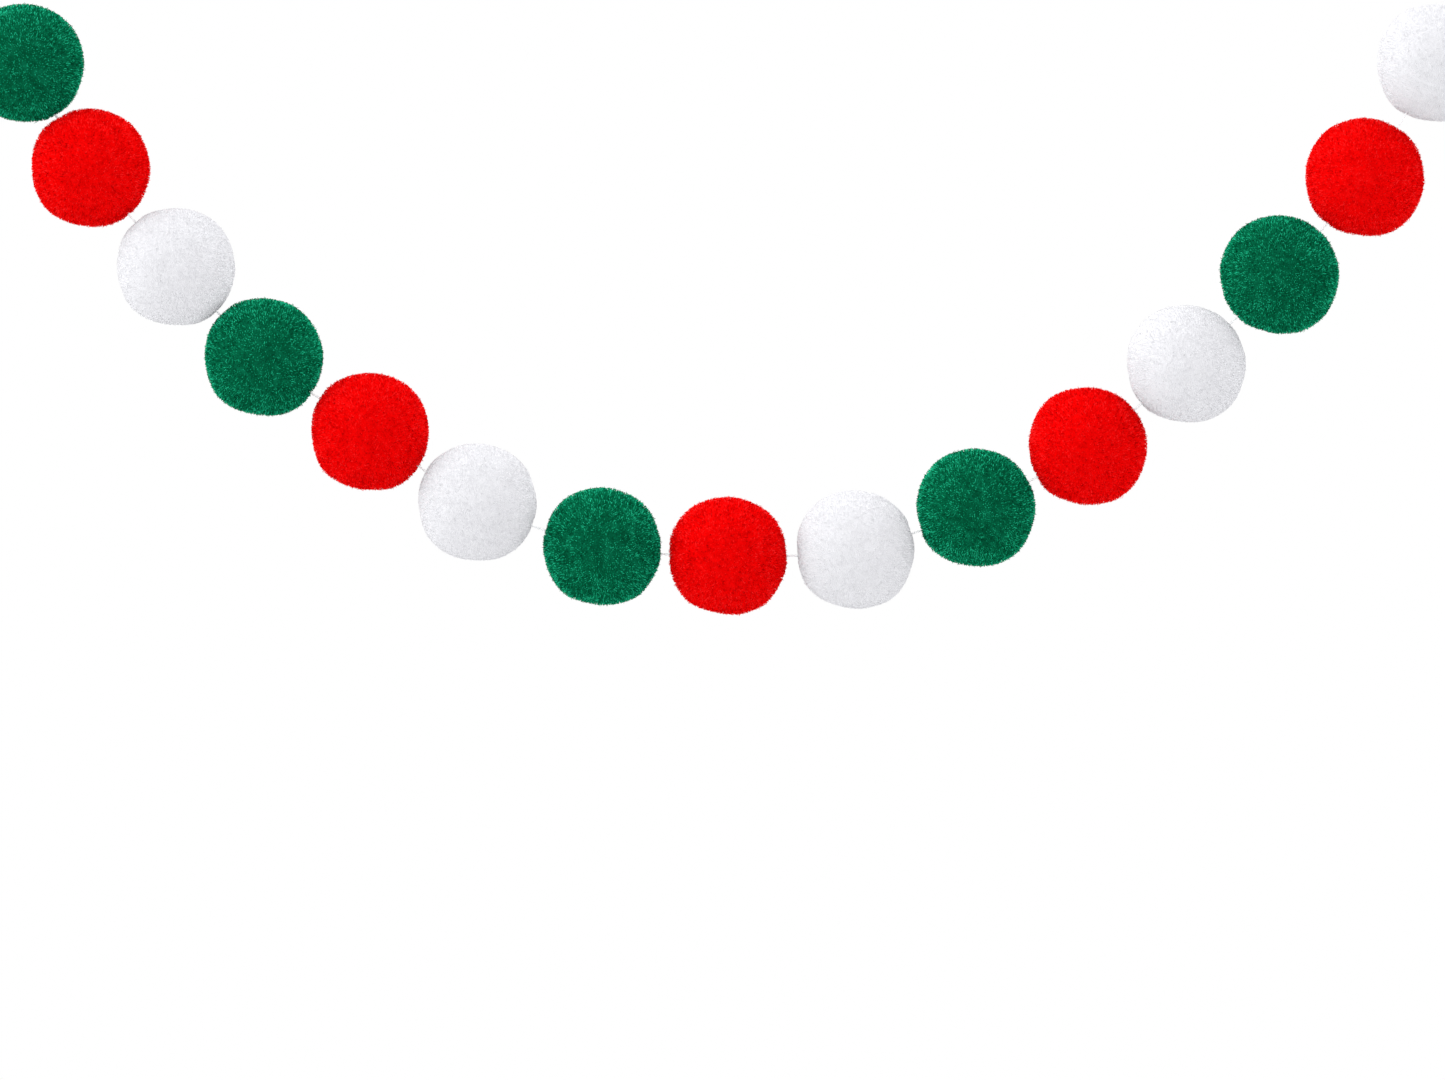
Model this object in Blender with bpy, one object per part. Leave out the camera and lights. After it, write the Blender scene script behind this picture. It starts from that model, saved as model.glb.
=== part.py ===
"""Pompom garland: green, red and white pompoms threaded on one string that hangs in a deep swag.

Each pompom is a ball of closely trimmed pile with a needle hole through its middle. The string runs through
them all and is tied at each end into a loop that hangs on a nail or hook.

Units are metres and +Z is up. The swag hangs in the X-Z plane, and its front faces -Y. The origin is the
hanging point of the left loop.
"""

import math

import bmesh
import bpy
from mathutils import Vector, noise
from mathutils.geometry import interpolate_bezier

MM = 0.001

# Pompoms: a ball that the shears left slightly square, and a little longer along one slant
POMPOM_RADIUS = 15.0 * MM
BALL_FACES_ACROSS = 8
CORNER_SHARE = 0.012
CORNER_ANGLE = math.radians(42)
SLANT_SHARE = 0.009
SLANT_ANGLE = math.radians(-40)
TUFT_RELIEF = 0.25 * MM
TUFTS_ACROSS = 2.6
TUFT_SHIFT = Vector((0, 0, 10))
SMOOTH_UP_TO = math.radians(40)

# String, and the needle hole that it runs through
STRING_RADIUS = 0.35 * MM
NEEDLE_HOLE_RADIUS = 0.70 * MM
SEAT_GAP = 0.3 * MM
WELD_DISTANCE = 0.01 * MM

# Swag: a hanging curve, whose radius at the lowest point is given, with the pompoms along it
SWAG_RADIUS = 145.5 * MM
FIRST_POMPOM = -229.2 * MM

# Each pompom from left to right: its colour, its distance along the curve from the one before, and how far it
# sits above the curve, in millimetres
POMPOMS = (
    ("green", 0.0, 0.0),
    ("red", 31.4, -1.1),
    ("white", 33.2, 0.1),
    ("green", 32.0, -0.1),
    ("red", 33.1, 1.9),
    ("white", 32.8, -0.2),
    ("green", 33.6, -0.6),
    ("red", 32.1, 0.8),
    ("white", 32.4, -1.0),
    ("green", 32.4, -0.4),
    ("red", 32.5, -0.3),
    ("white", 32.6, 0.9),
    ("green", 32.9, 0.2),
    ("red", 32.9, -0.9),
    ("white", 34.2, 0.6),
)

# Knots past the end pompoms, and the hanging loops tied beyond them
KNOT_OFFSET = 23.0 * MM
KNOT_RADIUS = 1.4 * MM
KNOT_FACES_ROUND = 18
KNOT_FACES_ALONG = 9
KNOT_TURNS = 3
KNOT_RIDGE = 0.16
KNOT_TWIST = 2.4
LOOP_LENGTH = 20.0 * MM
LOOP_WIDTH = 10.0 * MM
LOOP_LEG_OFFSET = 0.5 * MM
LOOP_POINTS = 29

# Steps of the string between one threaded point and the next
STRING_STEPS = 5

# Colour and roughness of each yarn and of the string
FINISHES = {
    "green": ((0.004, 0.130, 0.060), 0.95),
    "red": ((0.800, 0.004, 0.003), 0.95),
    "white": ((0.860, 0.860, 0.880), 0.95),
    "string": ((0.820, 0.820, 0.830), 0.80),
}


def clear_scene():
    """Starts from an empty file."""
    for thing in list(bpy.data.objects):
        bpy.data.objects.remove(thing, do_unlink=True)


def new_collection(name):
    """A collection under the scene's own."""
    collection = bpy.data.collections.new(name)
    bpy.context.scene.collection.children.link(collection)
    return collection


def new_material(name):
    """A matt fibre finish with the named row's colour."""
    colour, roughness = FINISHES[name]
    material = bpy.data.materials.new(name)
    material.use_nodes = True
    material.diffuse_color = (*colour, 1)
    shader = material.node_tree.nodes["Principled BSDF"]
    shader.inputs["Base Color"].default_value = (*colour, 1)
    shader.inputs["Roughness"].default_value = roughness
    shader.inputs["Metallic"].default_value = 0
    return material


def swag_point(along, above=0):
    """The point that lies so far along the hanging curve from its lowest point, and so far above it."""
    reach = math.hypot(SWAG_RADIUS, along)
    curve = Vector((SWAG_RADIUS * math.asinh(along / SWAG_RADIUS), 0, reach - SWAG_RADIUS))
    upward = Vector((-along, 0, SWAG_RADIUS)) / reach
    return curve + above * upward


def swag_direction(along):
    """The direction of the hanging curve there, towards the right."""
    return Vector((SWAG_RADIUS, 0, along)).normalized()


def pompom_centres():
    """The middle of each pompom, from the table."""
    centres = []
    along = FIRST_POMPOM
    for colour, pitch, above in POMPOMS:
        along += pitch * MM
        centres.append(swag_point(along, above * MM))
    return centres


def end_places():
    """Each end's knot and the way that its loop points, the left end first."""
    last_pompom = FIRST_POMPOM + sum(pitch for colour, pitch, above in POMPOMS) * MM
    left = FIRST_POMPOM - KNOT_OFFSET
    right = last_pompom + KNOT_OFFSET
    return (
        ("left", swag_point(left), -swag_direction(left)),
        ("right", swag_point(right), swag_direction(right)),
    )


def hanging_point(knot, outward):
    """Where the nail bears on the inside of a loop's far end."""
    return knot + outward * (KNOT_RADIUS + SEAT_GAP + LOOP_LENGTH - STRING_RADIUS)


def smooth_route(stops, steps):
    """Points on a smooth curve through the stops, with so many steps from each stop to the next."""
    before = [2 * stops[0] - stops[1], *stops[:-1]]
    after = [*stops[1:], 2 * stops[-1] - stops[-2]]
    slopes = [(ahead - behind) / 6 for behind, ahead in zip(before, after)]
    route = [stops[0]]
    for index in range(len(stops) - 1):
        start, end = stops[index], stops[index + 1]
        handles = (start + slopes[index], end - slopes[index + 1])
        route += interpolate_bezier(start, *handles, end, steps + 1)[1:]
    return route


def tube(name, points, radius, collection, material=None):
    """A round cord along the points, closed at both ends."""
    curve = bpy.data.curves.new(name, "CURVE")
    curve.dimensions = "3D"
    curve.bevel_depth = radius
    curve.bevel_resolution = 2
    curve.use_fill_caps = True
    spline = curve.splines.new("POLY")
    spline.points.add(len(points) - 1)
    for place, point in zip(spline.points, points):
        place.co = (*point, 1)
    if material:
        curve.materials.append(material)
    cord = bpy.data.objects.new(name, curve)
    collection.objects.link(cord)
    return cord


def needle_path(points, collection):
    """The cutter of the needle holes: a closed mesh a little wider than the string, on the string's route."""
    cord = tube("needle_path", points, NEEDLE_HOLE_RADIUS, collection)
    bpy.context.view_layer.update()
    evaluated = cord.evaluated_get(bpy.context.evaluated_depsgraph_get())
    mesh = bpy.data.meshes.new_from_object(evaluated)
    body = bmesh.new()
    body.from_mesh(mesh)
    bmesh.ops.remove_doubles(body, verts=body.verts, dist=WELD_DISTANCE)
    bmesh.ops.recalc_face_normals(body, faces=body.faces)
    body.to_mesh(mesh)
    body.free()
    cutter = bpy.data.objects.new("needle_cutter", mesh)
    cutter.matrix_world = cord.matrix_world
    cutter.hide_render = True
    cutter.display_type = "WIRE"
    collection.objects.link(cutter)
    bpy.data.objects.remove(cord, do_unlink=True)
    return cutter


def pile_reach(outward, pompom):
    """How far the pile's tips stand from the middle of a pompom, in one direction."""
    upright = outward.x ** 2 - outward.z ** 2
    slanted = 2 * outward.x * outward.z
    slant = upright * math.cos(2 * SLANT_ANGLE) + slanted * math.sin(2 * SLANT_ANGLE)
    corners = (upright ** 2 - slanted ** 2) * math.cos(4 * CORNER_ANGLE)
    corners += 2 * upright * slanted * math.sin(4 * CORNER_ANGLE)
    tufts = noise.noise(outward * TUFTS_ACROSS + TUFT_SHIFT * pompom)
    return POMPOM_RADIUS * (1 + SLANT_SHARE * slant + CORNER_SHARE * corners) + TUFT_RELIEF * tufts


def pompom(index, colour, centre, cutter, collection, material):
    """One trimmed ball: a cube's faces divided evenly and blown out round, then bored for the string."""
    name = f"pompom_{index:02d}_{colour}"
    body = bmesh.new()
    bmesh.ops.create_cube(body, size=2)
    bmesh.ops.subdivide_edges(body, edges=body.edges, cuts=BALL_FACES_ACROSS - 1, use_grid_fill=True)
    for vertex in body.verts:
        outward = Vector(math.tan(side * math.pi / 4) for side in vertex.co).normalized()
        vertex.co = outward * pile_reach(outward, index)
    mesh = bpy.data.meshes.new(name)
    body.to_mesh(mesh)
    body.free()
    mesh.shade_smooth()
    mesh.set_sharp_from_angle(angle=SMOOTH_UP_TO)
    mesh.materials.append(material)
    ball = bpy.data.objects.new(name, mesh)
    ball.location = centre
    collection.objects.link(ball)
    hole = ball.modifiers.new("needle hole", "BOOLEAN")
    hole.operation = "DIFFERENCE"
    hole.solver = "EXACT"
    hole.object = cutter
    return ball


def end_knot(side, place, outward, collection, material):
    """A pulled-down knot: a bead with the string's turns as ridges that wind round it."""
    name = f"knot_{side}"
    body = bmesh.new()
    bmesh.ops.create_uvsphere(body, u_segments=KNOT_FACES_ROUND, v_segments=KNOT_FACES_ALONG, radius=1)
    for vertex in body.verts:
        x, y, z = vertex.co
        turn = KNOT_TURNS * math.atan2(y, x) + KNOT_TWIST * z
        girth = 1 + KNOT_RIDGE * math.cos(turn) * math.hypot(x, y)
        vertex.co = Vector((x * girth, y * girth, z)) * KNOT_RADIUS
    mesh = bpy.data.meshes.new(name)
    body.to_mesh(mesh)
    body.free()
    mesh.shade_smooth()
    mesh.materials.append(material)
    knot = bpy.data.objects.new(name, mesh)
    knot.location = place
    knot.rotation_mode = "QUATERNION"
    knot.rotation_quaternion = outward.to_track_quat("Z", "Y")
    collection.objects.link(knot)
    return knot


def hanging_loop(side, knot, outward, collection, material):
    """A loop of the string in the swag's plane: two legs at the knot that open out to a round far end."""
    across = outward.cross(Vector((0, 1, 0)))
    start = knot + outward * (KNOT_RADIUS + SEAT_GAP)
    widest = math.sin(2 * math.pi / 3) * math.sin(math.pi / 3) ** 2
    points = []
    for step in range(LOOP_POINTS):
        turn = 2 * math.pi * step / (LOOP_POINTS - 1)
        reach = LOOP_LENGTH * (1 - math.cos(turn)) / 2
        bow = LOOP_WIDTH / 2 * math.sin(turn) * math.sin(turn / 2) ** 2 / widest
        leg = LOOP_LEG_OFFSET * math.cos(turn / 2)
        points.append(start + reach * outward + (bow + leg) * across)
    return tube(f"loop_{side}", points, STRING_RADIUS, collection, material)


def build():
    """The whole garland, with the left loop's hanging point at the origin."""
    clear_scene()
    garland = new_collection("pompom_garland")
    cutters = new_collection("cutters")
    materials = {name: new_material(name) for name in FINISHES}

    ends = end_places()
    origin = hanging_point(ends[0][1], ends[0][2])
    centres = [centre - origin for centre in pompom_centres()]
    ends = [(side, knot - origin, outward) for side, knot, outward in ends]

    string_ends = [knot - outward * (KNOT_RADIUS + SEAT_GAP) for side, knot, outward in ends]
    route = smooth_route([string_ends[0], *centres, string_ends[1]], STRING_STEPS)
    tube("string", route, STRING_RADIUS, garland, materials["string"])
    cutter = needle_path(route, cutters)

    for index, (row, centre) in enumerate(zip(POMPOMS, centres), start=1):
        colour = row[0]
        pompom(index, colour, centre, cutter, garland, materials[colour])
    for side, knot, outward in ends:
        end_knot(side, knot, outward, garland, materials["string"])
        hanging_loop(side, knot, outward, garland, materials["string"])


build()
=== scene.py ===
"""Looks of the pompom garland: pompoms of trimmed yarn pile on a twisted string, hanging in a deep swag.

Units are metres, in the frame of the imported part: the origin is the left loop's hanging point, +X runs to the
right loop, +Z is up, and the garland's front faces -Y.
"""

import cmath
import math

import bmesh
import bpy
from mathutils import Matrix, Vector, noise
from mathutils.geometry import interpolate_bezier


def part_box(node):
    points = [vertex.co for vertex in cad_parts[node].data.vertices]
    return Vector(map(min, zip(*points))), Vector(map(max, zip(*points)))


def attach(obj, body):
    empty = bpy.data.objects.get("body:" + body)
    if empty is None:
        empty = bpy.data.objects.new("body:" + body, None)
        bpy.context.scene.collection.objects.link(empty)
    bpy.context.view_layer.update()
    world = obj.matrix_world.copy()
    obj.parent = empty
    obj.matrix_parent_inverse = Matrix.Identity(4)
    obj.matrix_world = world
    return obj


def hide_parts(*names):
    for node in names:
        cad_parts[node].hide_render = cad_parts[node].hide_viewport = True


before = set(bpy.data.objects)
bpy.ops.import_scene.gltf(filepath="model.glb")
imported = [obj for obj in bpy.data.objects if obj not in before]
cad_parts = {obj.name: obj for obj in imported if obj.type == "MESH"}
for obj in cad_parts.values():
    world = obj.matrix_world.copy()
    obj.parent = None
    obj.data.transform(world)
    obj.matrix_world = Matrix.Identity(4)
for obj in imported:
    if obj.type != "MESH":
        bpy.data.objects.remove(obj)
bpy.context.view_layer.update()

MM = 0.001
BODY = "root"

# Pompoms: the shears leave shallow flats and corners. Each row has how many corners there are round the ball
# from the front, how far they stand out as a share of the radius, and their turn in degrees
POMPOM_RADIUS = 15.0 * MM
SHEAR_FLATS = (
    (2, 0.0088, 80),
    (3, 0.0021, 81),
    (4, 0.0118, -169),
    (5, 0.0049, -36),
    (6, 0.0025, 60),
    (8, 0.0018, 33),
)

# Low tufts, which each pompom takes from its own part of the noise, and a dimple where the string enters
TUFT_RELIEF = 0.25 * MM
TUFTS_ACROSS = 2.6
TUFT_SHIFT = Vector((0, 0, 10))
DIMPLE_DEPTH = 0.5 * MM
DIMPLE_WIDTH = 0.10
SKIN_FACES_ACROSS = 16

# Swag: a hanging curve, whose radius at the lowest point is given, with the pompoms along it
SWAG_RADIUS = 145.5 * MM
FIRST_POMPOM = -229.2 * MM

# Each pompom from left to right: its colour, its distance along the curve from the one before, and how far it
# sits above the curve, in millimetres
POMPOMS = (
    ("green", 0.0, 0.0),
    ("red", 31.4, -1.1),
    ("white", 33.2, 0.1),
    ("green", 32.0, -0.1),
    ("red", 33.1, 1.9),
    ("white", 32.8, -0.2),
    ("green", 33.6, -0.6),
    ("red", 32.1, 0.8),
    ("white", 32.4, -1.0),
    ("green", 32.4, -0.4),
    ("red", 32.5, -0.3),
    ("white", 32.6, 0.9),
    ("green", 32.9, 0.2),
    ("red", 32.9, -0.9),
    ("white", 34.2, 0.6),
)

# String, knots and hanging loops. The string and the loops run some way into the knots
STRING_RADIUS = 0.35 * MM
STRING_STEPS = 5
SEAT_GAP = 0.3 * MM
KNOT_OFFSET = 23.0 * MM
KNOT_RADIUS = 1.4 * MM
KNOT_TUCK = 0.9 * MM
LOOP_LENGTH = 20.0 * MM
LOOP_WIDTH = 10.0 * MM
LOOP_LEG_OFFSET = 0.5 * MM
LOOP_POINTS = 57

# Wraps of a knot: they start near the string and are soon drawn out to their full width
WRAP_TURNS = 4
WRAP_POINTS = 14
WRAP_START = 0.2
WRAP_TUCK = 6.0
WRAP_WIDTH = 2.1 * MM
WRAP_RADIUS = KNOT_RADIUS - STRING_RADIUS
FILLING_SUBDIVISIONS = 3

# Twisted thread: two plies, with a waist between them
TWIST_PITCH = 2.2 * MM
RING_SPACING = 0.4 * MM
THREAD_SIDES = 10
PLY_WAIST = 0.24

# View: the photograph's size in pixels, how wide a pompom is in it, and where the lowest red one stands
PHOTO_WIDTH = 1445
PHOTO_HEIGHT = 1080
POMPOM_PIXELS = 118
LOWEST_POMPOM = "pompom_08_red"
LOWEST_POMPOM_PIXEL = (727.9, 555.9)
CAMERA_DISTANCE = 2.0
SENSOR_WIDTH = 36.0

# Light: the white room's strength in front of the garland, at its sides and behind it, and the shares of that
# on the left and on the right
ROOM_LIGHT_FRONT = 0.91
ROOM_LIGHT_SIDE = 2.22
ROOM_LIGHT_BEHIND = 1.32
LEFT_SHARE = 1.02
RIGHT_SHARE = 0.90
ROOM_COLOUR = (0.98, 0.985, 1.0, 1)
BACKDROP = {"Color": (1, 1, 1, 1), "Strength": 1.0}

# One soft lamp at the upper left, measured from the point that the camera faces
KEY_LAMP_OFFSET = Vector((-1.65, -1.35, 0.95))
KEY_LAMP_SIZE = 2.6
KEY_LAMP_POWER = 16.8

# Floor, low enough to leave room for views from below
FLOOR_DROP = 1.25
FLOOR_RADIUS = 6.8
FLOOR_CORNERS = 96
FLOOR_LOOK = {"Base Color": (0.76, 0.76, 0.76, 1), "Roughness": 0.9}

# Trimmed pile: how many tips there would be to a square metre if the spacing didn't thin them out, and the
# random draws, each with a number of its own
TIP_DENSITY = 6e7
PLACE_SEED_STEP = 100.0
STUB_DRAWS = {"place": 0, "rise": 1, "tone": 2, "lean": 3, "length": 11, "girth": 12}
STRAND_DRAWS = {"place": 20, "rise": 21, "tone": 22, "lean": 23, "length": 31, "bow": 32, "girth": 33}

# A tip's tone and lean are part its own and part its tuft's, and broad patches of tufts share some tone
OWN_TONE = (0.2, 0.8)
TUFT_TONE = 3.0
PATCH_TONE = 1.0
PATCH_SCALE = 0.16
TUFT_DETAIL = 2.0
OWN_SWAY = 0.7
TUFT_SWAY = 2.0
SWAY_DETAIL = 1.0
NOISE_MIDDLE = 0.5

# Stubs and strands: how much they differ, and their shapes before they are scaled. A stub is a three-sided
# cone whose corners, by number, are moved to make one edge at each end
UNIT_RADIUS = 0.5
STUB_SIDES = 3
STUB_CORNERS = (
    (0, (-0.23, 0.0, 0.0)),
    (1, (-0.27, 0.0, 1.0)),
    (2, (0.25, 0.0, 0.0)),
    (3, (0.25, 0.0, 0.0)),
)
STUB_SPREAD = (0.8, 1.2)
STRAND_SPREAD = (0.7, 1.3)
STRAND_SIDES = 3
STRAND_POINTS = 3
STRAND_TAPER = 0.35
BOW_SCALE = 4.0

# The pile's map of colours. Across it lie a strand's tone and the way round it. Up it lie the core and then
# each strand, from its root to its tip
PILE_MAP = "OFBake"
MAP_LEFT = 0.02
MAP_TONE = 0.90
MAP_AROUND = 0.06
MAP_CORE = 0.14
MAP_CORE_SPREAD = 0.20
MAP_ROOT = 0.30
MAP_STRAND = 0.68

# Where on that map the colours change: the tones across it, and the heights up it between which painted shade
# deep in the pile gives way to the strands' own tints
DARK_TONE = 0.10
MIDDLE_TONE = 0.50
LIGHT_TONE = 0.95
PAINTED_SHADE_DEEP_HEIGHT = 0.05
PAINTED_SHADE_END_HEIGHT = 0.50

PILE_INPUTS = (
    ("Stub spacing", "Float"),
    ("Stub length", "Float"),
    ("Stub thickness", "Float"),
    ("Stub lean", "Float"),
    ("Stub unevenness", "Float"),
    ("Strand spacing", "Float"),
    ("Strand length", "Float"),
    ("Strand thickness", "Float"),
    ("Strand lean", "Float"),
    ("Strand crimp", "Float"),
    ("Strand unevenness", "Float"),
    ("Tip rise", "Float"),
    ("Core depth", "Float"),
    ("Core relief", "Float"),
    ("Tuft size", "Float"),
    ("Seed", "Int"),
    ("Material", "Material"),
)
THREAD_INPUTS = (
    ("Thread thickness", "Float"),
    ("Twist pitch", "Float"),
    ("Ring spacing", "Float"),
    ("Material", "Material"),
)

PILE = {
    "Stub spacing": 0.45 * MM,
    "Stub length": 0.95 * MM,
    "Stub thickness": 0.48 * MM,
    "Stub lean": 0.55,
    "Stub unevenness": 0.15 * MM,
    "Strand spacing": 1.10 * MM,
    "Strand length": 1.4 * MM,
    "Strand thickness": 0.15 * MM,
    "Strand lean": 1.5,
    "Strand crimp": 0.28 * MM,
    "Strand unevenness": 0.45 * MM,
    "Tip rise": 0.16 * MM,
    "Core depth": 0.35 * MM,
    "Core relief": 0.3 * MM,
    "Tuft size": 0.8 * MM,
}

# The white yarn is shorn closer and packs tighter
WHITE_PILE = {
    **PILE,
    "Stub spacing": 0.38 * MM,
    "Stub length": 0.80 * MM,
    "Stub thickness": 0.56 * MM,
    "Stub lean": 0.36,
    "Stub unevenness": 0.07 * MM,
    "Strand spacing": 1.8 * MM,
    "Strand thickness": 0.13 * MM,
    "Strand unevenness": 0.30 * MM,
    "Tip rise": 0.13 * MM,
    "Core depth": 0.17 * MM,
    "Core relief": 0.10 * MM,
}

# Each yarn: painted shade for the deep pile between strands, then dark, middle and light strands
YARN_TINTS = ("Deep painted shade", "Dark", "Middle", "Light")
YARNS = {
    "green": ((0.001, 0.060, 0.026), (0.001, 0.067, 0.029), (0.002, 0.209, 0.091), (0.017, 0.500, 0.262)),
    "red": ((0.655, 0.001, 0.001), (0.53, 0.001, 0.001), (0.885, 0.001, 0.001), (0.93, 0.018, 0.018)),
    "white": ((0.653, 0.650, 0.666), (0.718, 0.715, 0.732), (0.803, 0.800, 0.818), (0.852, 0.849, 0.862)),
}
YARN_LOOK = {"Roughness": 0.95, "Specular IOR Level": 0.0}

# In the white room, the light that one pompom throws on the next, or on the string, is pale. It is told from
# light between neighbouring strands by how far it comes
THROWN_LIGHT = (0.95, 0.95, 0.96, 1)
THROWN_LIGHT_REACH = 1.0 * MM

# White thread: its crown, its grooves with painted shade, and a darker tint of painted shade for its ends, with
# how much of each end takes that. The knots and loops are a darker copy of the same thread, painted shade all
# over
THREAD_TINTS = ("Crown", "Groove painted shade", "Painted shade end")
STRING_THREAD = ((0.99, 0.99, 0.99), (0.96, 0.96, 0.97), (0.52, 0.52, 0.52))
STRING_PAINTED_SHADE_END_SHARE = 0.026
END_THREAD_PAINTED_SHADE = ((0.56, 0.56, 0.56), (0.36, 0.36, 0.38), (0.56, 0.56, 0.56))
END_PAINTED_SHADE_END_SHARE = 0.0
THREAD_LOOK = {
    "Roughness": 0.85,
    "Specular IOR Level": 0.1,
    "Subsurface Weight": 1.0,
    "Subsurface Radius": (1.0, 1.0, 1.0),
    "Subsurface Scale": 1.0 * MM,
}

# Fine fibres of the thread: how many lie round it and along it, and how they and the plies shade it, the plies
# with painted shade in the grooves between them
FIBRES_AROUND = 9.0
FIBRES_ALONG = 160.0
FIBRE_DETAIL = 3.0
FIBRE_SHADE = 0.5
CROWN_SHADE = 0.75
FIBRE_RELIEF = {"Strength": 0.3, "Distance": 0.05 * MM}


def swag_point(along, above=0):
    """The point that lies so far along the hanging curve from its lowest point, and so far above it."""
    reach = math.hypot(SWAG_RADIUS, along)
    curve = Vector((SWAG_RADIUS * math.asinh(along / SWAG_RADIUS), 0, reach - SWAG_RADIUS))
    upward = Vector((-along, 0, SWAG_RADIUS)) / reach
    return curve + above * upward


def swag_direction(along):
    """The direction of the hanging curve there, towards the right."""
    return Vector((SWAG_RADIUS, 0, along)).normalized()


def end_places():
    """Each end's knot and the way that its loop points, the left end first."""
    last_pompom = FIRST_POMPOM + sum(pitch for colour, pitch, above in POMPOMS) * MM
    left = FIRST_POMPOM - KNOT_OFFSET
    right = last_pompom + KNOT_OFFSET
    return (
        ("left", swag_point(left), -swag_direction(left)),
        ("right", swag_point(right), swag_direction(right)),
    )


def garland_places():
    """The pompoms' centres and the two ends, measured from the left loop's hanging point."""
    ends = end_places()
    hang_reach = KNOT_RADIUS + SEAT_GAP + LOOP_LENGTH - STRING_RADIUS
    origin = ends[0][1] + ends[0][2] * hang_reach
    centres = []
    along = FIRST_POMPOM
    for colour, pitch, above in POMPOMS:
        along += pitch * MM
        centres.append(swag_point(along, above * MM) - origin)
    return centres, [(side, knot - origin, outward) for side, knot, outward in ends]


def smooth_route(stops, steps):
    """Points on a smooth curve through the stops, with so many steps from each stop to the next."""
    before = [2 * stops[0] - stops[1], *stops[:-1]]
    after = [*stops[1:], 2 * stops[-1] - stops[-2]]

    # Each handle is a sixth as long as the way between its stop's neighbours
    slopes = [(ahead - behind) / 6 for behind, ahead in zip(before, after)]
    route = [stops[0]]
    for index in range(len(stops) - 1):
        start, end = stops[index], stops[index + 1]
        handles = (start + slopes[index], end - slopes[index + 1])
        route += interpolate_bezier(start, *handles, end, steps + 1)[1:]
    return route


def mesh_of(name, body):
    """The mesh of a finished body, which is freed."""
    mesh = bpy.data.meshes.new(name)
    body.to_mesh(mesh)
    body.free()
    return mesh


def linked(name, data):
    """An object of this data, in the scene."""
    thing = bpy.data.objects.new(name, data)
    bpy.context.scene.collection.objects.link(thing)
    return thing


def pile_reach(outward, pompom, string_ways):
    """How far the pile's tips stand from the middle of a pompom, in one direction."""
    front = complex(outward.x, outward.z)
    flats = sum(share * (front ** corners * cmath.rect(1, math.radians(turn))).real
                for corners, share, turn in SHEAR_FLATS)
    tufts = noise.noise(outward * TUFTS_ACROSS + TUFT_SHIFT * pompom)
    dimple = sum(math.exp(-((outward - way).length / DIMPLE_WIDTH) ** 2) for way in string_ways)
    return POMPOM_RADIUS * (1 + flats) + TUFT_RELIEF * tufts - DIMPLE_DEPTH * dimple


def pompom_skin(name, index, centre, string_ways):
    """The surface that a pompom's shorn tips reach: a cube's faces divided evenly and blown out round."""
    body = bmesh.new()
    bmesh.ops.create_cube(body, size=2)
    bmesh.ops.subdivide_edges(body, edges=body.edges, cuts=SKIN_FACES_ACROSS - 1, use_grid_fill=True)
    for vertex in body.verts:
        outward = Vector(math.tan(side * math.pi / 4) for side in vertex.co).normalized()
        vertex.co = centre + outward * pile_reach(outward, index, string_ways)
    return mesh_of(name, body)


def add(tree, kind, sockets=(), **settings):
    """A node in a tree, with these settings. Its sockets, by name or number, take values or links."""
    node = tree.nodes.new(kind)
    for name, value in settings.items():
        setattr(node, name, value)
    for key, value in dict(sockets).items():
        if isinstance(value, bpy.types.NodeSocket):
            tree.links.new(value, node.inputs[key])
        else:
            node.inputs[key].default_value = value
    return node


def output(node, name=None):
    """A node's output of this name that is in use, or its first one in use."""
    return next(s for s in node.outputs if s.enabled and name in (None, s.name))


def maths(tree, operation, *values):
    """A sum on numbers or fields."""
    return add(tree, "ShaderNodeMath", enumerate(values), operation=operation).outputs[0]


def vector_maths(tree, operation, *values):
    """A sum on vectors."""
    return add(tree, "ShaderNodeVectorMath", enumerate(values), operation=operation).outputs[0]


def scaled(tree, vector, scale):
    """A vector made so many times as long."""
    return add(tree, "ShaderNodeVectorMath", {0: vector, "Scale": scale}, operation="SCALE").outputs[0]


def from_middle(tree, share):
    """How far a share from 0 to 1 is from its middle: 0 in the middle and 1 at both ends."""
    return maths(tree, "ABSOLUTE", maths(tree, "MULTIPLY_ADD", share, 2.0, -1.0))


def mixed(tree, share, first, second):
    """The colour that lies so far from the first to the second."""
    return add(tree, "ShaderNodeMix", {0: share, 6: first, 7: second}, data_type="RGBA").outputs[2]


def position(tree):
    """Where each element is."""
    return add(tree, "GeometryNodeInputPosition").outputs[0]


def chance_over_ball(tree, scale, detail=TUFT_DETAIL):
    """Noise that changes smoothly over the ball."""
    return add(tree, "ShaderNodeTexNoise", {"Vector": position(tree), "Scale": scale, "Detail": detail})


def random_vector(tree, seed, identity=None):
    """A vector for each element, with each side from -1 to 1."""
    sockets = {0: (-1, -1, -1), 1: (1, 1, 1), "Seed": seed}
    if identity is not None:
        sockets["ID"] = identity
    return output(add(tree, "FunctionNodeRandomValue", sockets, data_type="FLOAT_VECTOR"))


def random_number(tree, low, high, seed, identity=None):
    """A number for each element, from low to high."""
    sockets = {2: low, 3: high, "Seed": seed}
    if identity is not None:
        sockets["ID"] = identity
    return output(add(tree, "FunctionNodeRandomValue", sockets, data_type="FLOAT"))


def kept(tree, geometry, label, kind, value, domain="POINT"):
    """Keeps a value on the geometry under this label, and returns the geometry."""
    sockets = {"Geometry": geometry, "Name": label, "Value": value}
    return output(add(tree, "GeometryNodeStoreNamedAttribute", sockets, data_type=kind, domain=domain))


def recalled(tree, label, kind="FLOAT"):
    """The value that the geometry keeps under this label."""
    return output(add(tree, "GeometryNodeInputNamedAttribute", {"Name": label}, data_type=kind))


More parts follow.
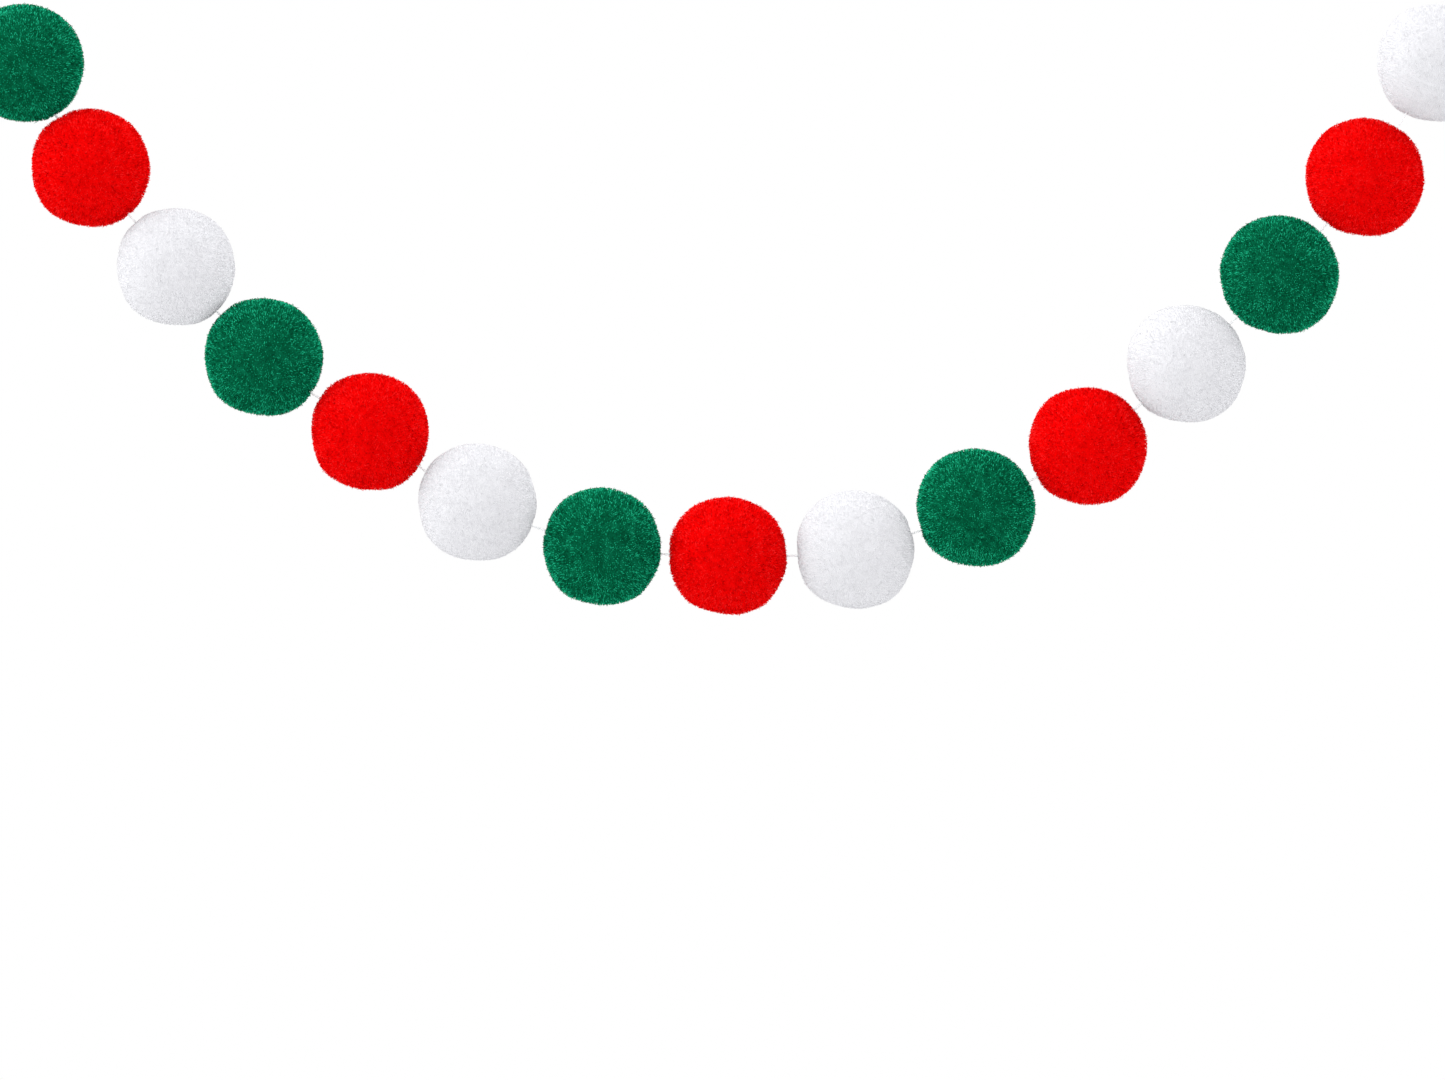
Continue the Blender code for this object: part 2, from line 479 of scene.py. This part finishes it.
def kept_on_map(tree, geometry, across, up):
    """Keeps a place on the map at every corner of every face."""
    where = add(tree, "ShaderNodeCombineXYZ", {"X": across, "Y": up})
    return kept(tree, geometry, PILE_MAP, "FLOAT2", output(where), domain="CORNER")


def new_tree(name, inputs):
    """An empty geometry tree with named inputs, its inputs' sockets and its output node."""
    tree = bpy.data.node_groups.new(name, "GeometryNodeTree")
    tree.interface.new_socket("Geometry", in_out="INPUT", socket_type="NodeSocketGeometry")
    for label, kind in inputs:
        tree.interface.new_socket(label, in_out="INPUT", socket_type=f"NodeSocket{kind}")
    tree.interface.new_socket("Geometry", in_out="OUTPUT", socket_type="NodeSocketGeometry")
    return tree, tree.nodes.new("NodeGroupInput").outputs, tree.nodes.new("NodeGroupOutput")


def finish(tree, geometry, material, result):
    """Ends a tree: one smooth mesh in one material."""
    smooth = add(tree, "GeometryNodeSetShadeSmooth", {"Geometry": geometry})
    whole = add(tree, "GeometryNodeRealizeInstances", {0: output(smooth)})
    worn = add(tree, "GeometryNodeSetMaterial", {"Geometry": output(whole), "Material": material})
    tree.links.new(output(worn), result.inputs[0])


def scattered_tips(tree, size, kind, draws):
    """Tips on the shorn surface, with each one's tone and number kept, and the way that each one points."""
    tufts = maths(tree, "DIVIDE", 1.0, size["Tuft size"])
    scatter = add(tree, "GeometryNodeDistributePointsOnFaces", {
        "Mesh": size["Geometry"],
        "Distance Min": size[f"{kind} spacing"],
        "Density Max": TIP_DENSITY,
        "Seed": maths(tree, "ADD", size["Seed"], PLACE_SEED_STEP * draws["place"]),
    }, distribute_method="POISSON")
    normal = output(scatter, "Normal")

    # The shears leave each tip a little above or below the surface
    rise = random_number(tree, -1.0, 1.0, draws["rise"])
    rise = maths(tree, "MULTIPLY_ADD", rise, size[f"{kind} unevenness"], size["Tip rise"])
    lifted = scaled(tree, normal, rise)
    tips = add(tree, "GeometryNodeSetPosition", {"Geometry": output(scatter, "Points"), "Offset": lifted})

    # Tone is part chance, part the tuft and part the broad patch that the tip stands in
    tuft = output(chance_over_ball(tree, tufts))
    patch = output(chance_over_ball(tree, maths(tree, "MULTIPLY", tufts, PATCH_SCALE)))
    tone = maths(tree, "MULTIPLY_ADD", tuft, TUFT_TONE, -TUFT_TONE * NOISE_MIDDLE)
    tone = maths(tree, "SUBTRACT", tone, PATCH_TONE * NOISE_MIDDLE)
    tone = maths(tree, "MULTIPLY_ADD", patch, PATCH_TONE, tone)
    tone = maths(tree, "ADD", tone, random_number(tree, *OWN_TONE, draws["tone"]))
    tone = add(tree, "ShaderNodeClamp", {0: tone}).outputs[0]
    points = kept(tree, output(tips), "tone", "FLOAT", tone)
    points = kept(tree, points, "number", "INT", add(tree, "GeometryNodeInputIndex").outputs[0])

    # Neighbours lean together, and each one a little its own way
    sway = output(chance_over_ball(tree, tufts, SWAY_DETAIL), "Color")
    sway = scaled(tree, vector_maths(tree, "SUBTRACT", sway, (NOISE_MIDDLE,) * 3), TUFT_SWAY)
    own = scaled(tree, random_vector(tree, draws["lean"]), OWN_SWAY)
    leaning = vector_maths(tree, "CROSS_PRODUCT", normal, vector_maths(tree, "ADD", sway, own))
    upward = vector_maths(tree, "ADD", normal, scaled(tree, leaning, size[f"{kind} lean"]))
    turn = add(tree, "FunctionNodeAlignRotationToVector", {"Vector": upward}, axis="Z")
    return points, output(turn)


def mapped(tree, strands):
    """Lays each strand on the map, by the tone, the way round and the height that are kept on it."""
    across = maths(tree, "MULTIPLY_ADD", recalled(tree, "tone"), MAP_TONE, MAP_LEFT)
    across = maths(tree, "MULTIPLY_ADD", recalled(tree, "around"), MAP_AROUND, across)
    up = maths(tree, "MULTIPLY_ADD", recalled(tree, "height"), MAP_STRAND, MAP_ROOT)
    return kept_on_map(tree, strands, across, up)


def stub_shape(tree):
    """One stub, a metre long, below its tip: an edge across in the core, and one along at the shorn end."""
    cone = {"Vertices": STUB_SIDES, "Radius Bottom": UNIT_RADIUS, "Depth": 1.0}
    stub = add(tree, "GeometryNodeMeshCone", cone)
    corner = add(tree, "GeometryNodeInputIndex").outputs[0]
    for number, move in STUB_CORNERS:
        chosen = add(tree, "FunctionNodeCompare", {2: corner, 3: number}, data_type="INT", operation="EQUAL")
        stub = add(tree, "GeometryNodeSetPosition", {
            "Geometry": output(stub), "Selection": output(chosen), "Offset": move,
        })
    stub = add(tree, "GeometryNodeTransform", {"Geometry": output(stub), "Translation": (0, 0, -1)})
    place = add(tree, "ShaderNodeSeparateXYZ", {0: position(tree)})
    around = maths(tree, "ADD", place.outputs["X"], UNIT_RADIUS)
    height = maths(tree, "ADD", place.outputs["Z"], 1.0)
    return kept(tree, kept(tree, output(stub), "around", "FLOAT", around), "height", "FLOAT", height)


def stub_pile(tree, size):
    """Dense stubs of fibre, cut blunt."""
    points, turn = scattered_tips(tree, size, "Stub", STUB_DRAWS)
    length = random_number(tree, *STUB_SPREAD, STUB_DRAWS["length"])
    length = maths(tree, "MULTIPLY", length, size["Stub length"])
    girth = random_number(tree, *STUB_SPREAD, STUB_DRAWS["girth"])
    girth = maths(tree, "MULTIPLY", girth, size["Stub thickness"])
    stretch = add(tree, "ShaderNodeCombineXYZ", {"X": girth, "Y": girth, "Z": length})
    stubs = add(tree, "GeometryNodeInstanceOnPoints", {
        "Points": points, "Instance": stub_shape(tree), "Rotation": turn, "Scale": output(stretch),
    })
    return mapped(tree, output(add(tree, "GeometryNodeRealizeInstances", {0: output(stubs)})))


def crimped_pile(tree, size):
    """Crimped strands that lie through the stubs and come to the surface, blunt at the shorn end."""
    points, turn = scattered_tips(tree, size, "Strand", STRAND_DRAWS)
    length = random_number(tree, *STRAND_SPREAD, STRAND_DRAWS["length"])
    length = maths(tree, "MULTIPLY", length, size["Strand length"])
    stretch = add(tree, "ShaderNodeCombineXYZ", {"X": 1.0, "Y": 1.0, "Z": length})
    line = add(tree, "GeometryNodeCurvePrimitiveLine", {"Start": (0, 0, -1), "End": (0, 0, 0)})
    line = add(tree, "GeometryNodeResampleCurve", {"Curve": output(line), "Count": STRAND_POINTS})
    strands = add(tree, "GeometryNodeInstanceOnPoints", {
        "Points": points, "Instance": output(line), "Rotation": turn, "Scale": output(stretch),
    })
    strands = output(add(tree, "GeometryNodeRealizeInstances", {0: output(strands)}))

    # The middle of each strand bows out its own way, square to the strand
    height = add(tree, "GeometryNodeSplineParameter").outputs["Factor"]
    strands = kept(tree, strands, "height", "FLOAT", height)
    number = recalled(tree, "number", "INT")
    along = output(add(tree, "GeometryNodeInputTangent"))
    aside = vector_maths(tree, "CROSS_PRODUCT", along, random_vector(tree, STRAND_DRAWS["bow"], number))
    bow = maths(tree, "MULTIPLY", height, maths(tree, "SUBTRACT", 1.0, height))
    bow = maths(tree, "MULTIPLY", maths(tree, "MULTIPLY", bow, BOW_SCALE), size["Strand crimp"])
    strands = output(add(tree, "GeometryNodeSetPosition", {
        "Geometry": strands, "Offset": scaled(tree, aside, bow),
    }))

    ring = add(tree, "GeometryNodeCurvePrimitiveCircle", {"Resolution": STRAND_SIDES, "Radius": UNIT_RADIUS})
    around = add(tree, "GeometryNodeSplineParameter").outputs["Factor"]
    ring = kept(tree, output(ring, "Curve"), "around", "FLOAT", around)
    taper = maths(tree, "MULTIPLY_ADD", height, -STRAND_TAPER, 1.0)
    girth = random_number(tree, *STRAND_SPREAD, STRAND_DRAWS["girth"], number)
    girth = maths(tree, "MULTIPLY", girth, size["Strand thickness"])
    strands = add(tree, "GeometryNodeCurveToMesh", {
        "Curve": strands, "Profile Curve": ring, "Scale": maths(tree, "MULTIPLY", girth, taper),
        "Fill Caps": True,
    })
    return mapped(tree, output(strands))


def packed_core(tree, size):
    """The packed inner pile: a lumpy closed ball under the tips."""
    normal = add(tree, "GeometryNodeInputNormal").outputs[0]
    chance = output(chance_over_ball(tree, maths(tree, "DIVIDE", 1.0, size["Tuft size"])))
    lumps = maths(tree, "SUBTRACT", chance, NOISE_MIDDLE)
    depth = maths(tree, "MULTIPLY", lumps, size["Core relief"])
    depth = maths(tree, "SUBTRACT", depth, size["Core depth"])
    core = output(add(tree, "GeometryNodeSetPosition", {
        "Geometry": size["Geometry"], "Offset": scaled(tree, normal, depth),
    }))
    return kept_on_map(tree, core, chance, maths(tree, "MULTIPLY_ADD", lumps, MAP_CORE_SPREAD, MAP_CORE))


def pile_tree():
    """Grows trimmed pile inwards from the shorn surface, over a core that closes the ball."""
    tree, size, result = new_tree("pompom_pile", PILE_INPUTS)
    layers = (packed_core(tree, size), stub_pile(tree, size), crimped_pile(tree, size))
    together = add(tree, "GeometryNodeJoinGeometry")
    for layer in layers:
        tree.links.new(layer, together.inputs[0])
    finish(tree, output(together), size["Material"], result)
    return tree


def thread_tree():
    """Two plies twisted round each other along a curve, with closed ends."""
    tree, size, result = new_tree("twisted_thread", THREAD_INPUTS)
    curve = add(tree, "GeometryNodeResampleCurve", {
        "Curve": size["Geometry"], "Length": size["Ring spacing"],
    }, mode="LENGTH")
    spline = add(tree, "GeometryNodeSplineParameter")
    turns = maths(tree, "DIVIDE", spline.outputs["Length"], size["Twist pitch"])
    twist = maths(tree, "MULTIPLY", turns, 2 * math.pi)
    curve = output(add(tree, "GeometryNodeSetCurveTilt", {"Curve": output(curve), "Tilt": twist}))
    curve = kept(tree, curve, "along", "FLOAT", spline.outputs["Factor"])

    # Two plies side by side: a ring that is drawn in between them
    ring = add(tree, "GeometryNodeCurvePrimitiveCircle", {"Resolution": THREAD_SIDES, "Radius": UNIT_RADIUS})
    factor = add(tree, "GeometryNodeSplineParameter").outputs["Factor"]
    waist = maths(tree, "COSINE", maths(tree, "MULTIPLY", factor, 4 * math.pi))
    waist = maths(tree, "MULTIPLY_ADD", waist, PLY_WAIST, 1 - PLY_WAIST)
    ring = kept(tree, output(ring, "Curve"), "around", "FLOAT", from_middle(tree, factor))
    ring = output(add(tree, "GeometryNodeSetPosition", {
        "Geometry": ring, "Position": scaled(tree, position(tree), waist),
    }))
    thread = output(add(tree, "GeometryNodeCurveToMesh", {
        "Curve": curve, "Profile Curve": ring, "Scale": size["Thread thickness"], "Fill Caps": True,
    }))
    thread = kept_on_map(tree, thread, recalled(tree, "around"), recalled(tree, "along"))
    finish(tree, thread, size["Material"], result)
    return tree


def made_by(tree, name, mesh_or_curve, values):
    """The mesh that a tree makes of a mesh or curve, as an object of its own."""
    source = linked(name + "_source", mesh_or_curve)
    grown = source.modifiers.new(tree.name, "NODES")
    grown.node_group = tree
    for socket in tree.interface.items_tree:
        if socket.name in values:
            grown[socket.identifier] = values[socket.name]
    evaluated = source.evaluated_get(bpy.context.evaluated_depsgraph_get())
    mesh = bpy.data.meshes.new_from_object(evaluated)
    bpy.data.objects.remove(source, do_unlink=True)
    mesh.name = name
    return linked(name, mesh)


def new_material(name, look):
    """A material with these settings on its shader, the material's tree and the shader."""
    material = bpy.data.materials.new(name)
    material.use_nodes = True
    shader = material.node_tree.nodes["Principled BSDF"]
    for label, value in look.items():
        shader.inputs[label].default_value = value
    return material, material.node_tree, shader


def new_shader_group(name, inputs, outputs):
    """An empty shader group with named inputs and outputs, its inputs' sockets and its output node."""
    group = bpy.data.node_groups.new(name, "ShaderNodeTree")
    for label, kind in inputs:
        group.interface.new_socket(label, in_out="INPUT", socket_type=f"NodeSocket{kind}")
    for label, kind in outputs:
        group.interface.new_socket(label, in_out="OUTPUT", socket_type=f"NodeSocket{kind}")
    return group, group.nodes.new("NodeGroupInput").outputs, group.nodes.new("NodeGroupOutput")


def place_on_map(group):
    """A surface point's place across and up the map."""
    where = add(group, "ShaderNodeUVMap", uv_map=PILE_MAP).outputs[0]
    split = add(group, "ShaderNodeSeparateXYZ", {0: where})
    return split.outputs["X"], split.outputs["Y"]


def pile_colour_group():
    """Colour of trimmed pile, from a strand's tone across the map and, as painted shade, its height up the map.
    """
    tints = [(label, "Color") for label in YARN_TINTS]
    group, given, result = new_shader_group("pile_colour", tints, [("Colour", "Color")])
    across, up = place_on_map(group)
    low = add(group, "ShaderNodeMapRange", {0: across, 1: DARK_TONE, 2: MIDDLE_TONE})
    high = add(group, "ShaderNodeMapRange", {0: across, 1: MIDDLE_TONE, 2: LIGHT_TONE})
    # Painted shade: low on the map, in the core and at the strands' roots, the colour goes over to the darkest
    # tint
    out_of_painted_shade = add(group, "ShaderNodeMapRange", {0: up, 1: PAINTED_SHADE_DEEP_HEIGHT, 2: PAINTED_SHADE_END_HEIGHT})
    tint = mixed(group, low.outputs[0], given["Dark"], given["Middle"])
    tint = mixed(group, high.outputs[0], tint, given["Light"])
    tint = mixed(group, out_of_painted_shade.outputs[0], given["Deep painted shade"], tint)
    group.links.new(tint, result.inputs[0])
    return group


def yarn_material(colour, colour_group):
    """Matt trimmed yarn in one colour."""
    material, tree, shader = new_material(f"yarn_{colour}", YARN_LOOK)
    pile = add(tree, "ShaderNodeGroup", node_tree=colour_group)
    for label, tint in zip(YARN_TINTS, YARNS[colour]):
        pile.inputs[label].default_value = (*tint, 1)
    ray = tree.nodes.new("ShaderNodeLightPath")
    far = maths(tree, "GREATER_THAN", ray.outputs["Ray Length"], THROWN_LIGHT_REACH)
    thrown = maths(tree, "MULTIPLY", ray.outputs["Is Diffuse Ray"], far)
    tree.links.new(mixed(tree, thrown, pile.outputs[0], THROWN_LIGHT), shader.inputs["Base Color"])
    return material


def thread_fibre_group():
    """Twisted thread: pale crowns, painted shade in the grooves, fine fibres along it, and painted shade at its
    ends.
    """
    inputs = [(label, "Color") for label in THREAD_TINTS] + [("Painted shade end share", "Float")]
    outputs = [("Colour", "Color"), ("Height", "Float")]
    group, given, result = new_shader_group("thread_fibres", inputs, outputs)
    across, up = place_on_map(group)
    stretched = add(group, "ShaderNodeCombineXYZ", {
        "X": maths(group, "MULTIPLY", across, FIBRES_AROUND),
        "Y": maths(group, "MULTIPLY", up, FIBRES_ALONG),
    })
    fibres = output(add(group, "ShaderNodeTexNoise", {
        "Vector": stretched.outputs[0], "Scale": 1.0, "Detail": FIBRE_DETAIL,
    }))
    crown = maths(group, "MULTIPLY", from_middle(group, across), CROWN_SHADE)
    shade = maths(group, "MULTIPLY_ADD", fibres, FIBRE_SHADE, crown)
    shade = add(group, "ShaderNodeClamp", {0: shade}).outputs[0]
    # Painted shade: the grooves between the plies take the darker tint
    tint = mixed(group, shade, given["Groove painted shade"], given["Crown"])
    # Painted shade: this share of the thread at each end takes a darker tint
    before_painted_shade_end = maths(group, "SUBTRACT", 1.0, given["Painted shade end share"])
    painted_shade_end_mask = maths(group, "GREATER_THAN", from_middle(group, up), before_painted_shade_end)
    group.links.new(mixed(group, painted_shade_end_mask, tint, given["Painted shade end"]), result.inputs[0])
    group.links.new(fibres, result.inputs[1])
    return group


def thread_material(name, tints, painted_shade_end_share, fibre_group):
    """White twisted thread, matt."""
    material, tree, shader = new_material(name, THREAD_LOOK)
    fibres = add(tree, "ShaderNodeGroup", node_tree=fibre_group)
    for label, tint in zip(THREAD_TINTS, tints):
        fibres.inputs[label].default_value = (*tint, 1)
    fibres.inputs["Painted shade end share"].default_value = painted_shade_end_share
    tree.links.new(fibres.outputs["Colour"], shader.inputs["Base Color"])
    relief = add(tree, "ShaderNodeBump", {"Height": fibres.outputs["Height"], **FIBRE_RELIEF})
    tree.links.new(relief.outputs[0], shader.inputs["Normal"])
    return material


def photo_aim():
    """The point that the camera faces, and the size of one of the photograph's pixels there."""
    scale = 2 * POMPOM_RADIUS / POMPOM_PIXELS
    low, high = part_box(LOWEST_POMPOM)
    pompom = (low + high) / 2
    aim_x = pompom.x + (PHOTO_WIDTH / 2 - LOWEST_POMPOM_PIXEL[0]) * scale
    aim_z = pompom.z + (LOWEST_POMPOM_PIXEL[1] - PHOTO_HEIGHT / 2) * scale
    return Vector((aim_x, 0, aim_z)), scale


def place_camera(aim, scale):
    """The camera at the photograph's angle."""
    camera = linked("camera", bpy.data.cameras.new("camera"))
    camera.location = aim - Vector((0, CAMERA_DISTANCE, 0))
    camera.rotation_euler = (math.pi / 2, 0, 0)
    camera.data.sensor_width = SENSOR_WIDTH
    camera.data.lens = SENSOR_WIDTH * CAMERA_DISTANCE / (PHOTO_WIDTH * scale)
    bpy.context.scene.camera = camera


def place_lamp(aim):
    """Soft light from the upper left."""
    light = bpy.data.lights.new("key", "AREA")
    light.size = KEY_LAMP_SIZE
    light.energy = KEY_LAMP_POWER
    lamp = linked("key", light)
    lamp.location = aim + KEY_LAMP_OFFSET
    lamp.rotation_euler = (-KEY_LAMP_OFFSET).to_track_quat("-Z", "Y").to_euler()


def white_room():
    """Light from all round, brightest at the sides, in front of a plain white backdrop."""
    world = bpy.data.worlds.new("white_room")
    world.use_nodes = True
    tree = world.node_tree
    way = add(tree, "ShaderNodeSeparateXYZ", {0: tree.nodes.new("ShaderNodeTexCoord").outputs["Generated"]})
    before = add(tree, "ShaderNodeMapRange", {
        0: way.outputs["Y"], 1: -1.0, 2: 0.0, 3: ROOM_LIGHT_FRONT, 4: ROOM_LIGHT_SIDE,
    })
    behind = add(tree, "ShaderNodeMapRange", {
        0: way.outputs["Y"], 1: 0.0, 2: 1.0, 3: ROOM_LIGHT_SIDE, 4: ROOM_LIGHT_BEHIND,
    })
    sideways = add(tree, "ShaderNodeMapRange", {
        0: way.outputs["X"], 1: -1.0, 2: 1.0, 3: LEFT_SHARE, 4: RIGHT_SHARE,
    })
    brightness = maths(tree, "MINIMUM", before.outputs[0], behind.outputs[0])
    brightness = maths(tree, "MULTIPLY", brightness, sideways.outputs[0])
    room = tree.nodes["Background"]
    room.inputs["Color"].default_value = ROOM_COLOUR
    tree.links.new(brightness, room.inputs["Strength"])
    backdrop = add(tree, "ShaderNodeBackground", BACKDROP)
    ray = tree.nodes.new("ShaderNodeLightPath")
    both = add(tree, "ShaderNodeMixShader", {
        0: ray.outputs["Is Camera Ray"], 1: room.outputs[0], 2: backdrop.outputs[0],
    })
    tree.links.new(both.outputs[0], tree.nodes["World Output"].inputs["Surface"])
    bpy.context.scene.world = world
    bpy.context.scene.view_settings.view_transform = "Standard"


def pale_floor(aim):
    """A pale floor, well below the garland."""
    body = bmesh.new()
    bmesh.ops.create_circle(body, cap_ends=True, segments=FLOOR_CORNERS, radius=FLOOR_RADIUS)
    mesh = mesh_of("floor", body)
    mesh.transform(Matrix.Translation((aim.x, 0, aim.z - FLOOR_DROP)))
    mesh.materials.append(new_material("floor_pale", FLOOR_LOOK)[0])
    linked("floor", mesh)


def polyline(name, points):
    """A curve of one open straight-sided run through the points."""
    curve = bpy.data.curves.new(name, "CURVE")
    curve.dimensions = "3D"
    spline = curve.splines.new("POLY")
    spline.points.add(len(points) - 1)
    for place, point in zip(spline.points, points):
        place.co = (*point, 1)
    return curve


def loop_route(knot, outward):
    """The hanging loop's centreline: out of the knot, round a drop shape and back in beside itself."""
    across = outward.cross(Vector((0, 1, 0)))
    start = knot + outward * (KNOT_RADIUS + SEAT_GAP)
    tuck = -outward * KNOT_TUCK

    # The drop is widest a third of the way round and two thirds of the way round
    widest = math.sin(2 * math.pi / 3) * math.sin(math.pi / 3) ** 2
    route = []
    for step in range(LOOP_POINTS):
        turn = 2 * math.pi * step / (LOOP_POINTS - 1)
        reach = LOOP_LENGTH * (1 - math.cos(turn)) / 2
        bow = LOOP_WIDTH / 2 * math.sin(turn) * math.sin(turn / 2) ** 2 / widest
        leg = LOOP_LEG_OFFSET * math.cos(turn / 2)
        route.append(start + reach * outward + (bow + leg) * across)
    return [route[0] + tuck, *route, route[-1] + tuck]


def winding_route(knot, outward):
    """A knot's wraps: round and round the string from one side to the other, with both ends tucked in."""
    across = outward.cross(Vector((0, 1, 0)))
    upward = outward.cross(across)
    route = []
    for step in range(WRAP_TURNS * WRAP_POINTS + 1):
        turn = 2 * math.pi * step / WRAP_POINTS
        share = step / (WRAP_TURNS * WRAP_POINTS)
        drawn_in = min(1.0, WRAP_START + min(share, 1 - share) * WRAP_TUCK)
        side = across * math.cos(turn) + upward * math.sin(turn)
        route.append(knot + outward * (share - 0.5) * WRAP_WIDTH + side * drawn_in * WRAP_RADIUS)
    return route


def thread_along(name, route, tree, material):
    """A length of twisted thread along a route, as a mesh."""
    values = {
        "Thread thickness": 2 * STRING_RADIUS,
        "Twist pitch": TWIST_PITCH,
        "Ring spacing": RING_SPACING,
        "Material": material,
    }
    return made_by(tree, name, polyline(name, route), values)


def dress_string(route, tree, material):
    """The string that carries the pompoms from knot to knot."""
    string = thread_along("thread_string", route, tree, material)
    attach(string, BODY)
    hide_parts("string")


def dress_knot(side, knot, outward, tree, material):
    """One knot: its wraps, round a filled middle."""
    winding = thread_along(f"knot_wraps_{side}", winding_route(knot, outward), tree, material)
    body = bmesh.new()
    body.from_mesh(winding.data)
    filling = bmesh.ops.create_icosphere(body, subdivisions=FILLING_SUBDIVISIONS, radius=WRAP_RADIUS)
    bmesh.ops.translate(body, vec=knot, verts=filling["verts"])
    for face in body.faces:
        face.smooth = True
    body.to_mesh(winding.data)
    body.free()
    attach(winding, BODY)
    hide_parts(f"knot_{side}")
    return winding


def dress_loop(side, knot, outward, tree, material):
    """One hanging loop."""
    route = loop_route(knot, outward)
    loop = thread_along(f"thread_loop_{side}", route, tree, material)
    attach(loop, BODY)
    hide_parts(f"loop_{side}")


def dress_pompoms(centres, string_ends):
    """Every pompom, each with its own pile on the shared shape of the shears."""
    tree = pile_tree()
    group = pile_colour_group()
    yarns = {colour: yarn_material(colour, group) for colour in YARNS}
    stops = [string_ends[0], *centres, string_ends[1]]
    pieces = []
    for index, (row, centre) in enumerate(zip(POMPOMS, centres), start=1):
        colour = row[0]
        node = f"pompom_{index:02d}_{colour}"
        ways = [(stop - centre).normalized() for stop in (stops[index - 1], stops[index + 1])]
        skin = pompom_skin(node, index, centre, ways)
        name = f"pile_{index:02d}_{colour}"
        pile = WHITE_PILE if colour == "white" else PILE
        piece = made_by(tree, name, skin, {**pile, "Seed": index, "Material": yarns[colour]})
        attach(piece, BODY)
        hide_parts(node)
        pieces.append(piece)
    return pieces


aim, scale = photo_aim()
place_camera(aim, scale)
place_lamp(aim)
white_room()
pale_floor(aim)

centres, ends = garland_places()
string_ends = [knot - outward * (KNOT_RADIUS + SEAT_GAP - KNOT_TUCK) for side, knot, outward in ends]
thread = thread_tree()
fibre_group = thread_fibre_group()
# The knots and loops take a darker copy of the white thread: painted shade all over
end_thread = thread_material("thread_ends", END_THREAD_PAINTED_SHADE, END_PAINTED_SHADE_END_SHARE, fibre_group)
string_thread = thread_material("thread_string", STRING_THREAD, STRING_PAINTED_SHADE_END_SHARE, fibre_group)
for side, knot, outward in ends:
    dress_knot(side, knot, outward, thread, end_thread)
    dress_loop(side, knot, outward, thread, end_thread)
pompoms = dress_pompoms(centres, string_ends)
string_route = smooth_route([string_ends[0], *centres, string_ends[1]], STRING_STEPS)
dress_string(string_route, thread, string_thread)
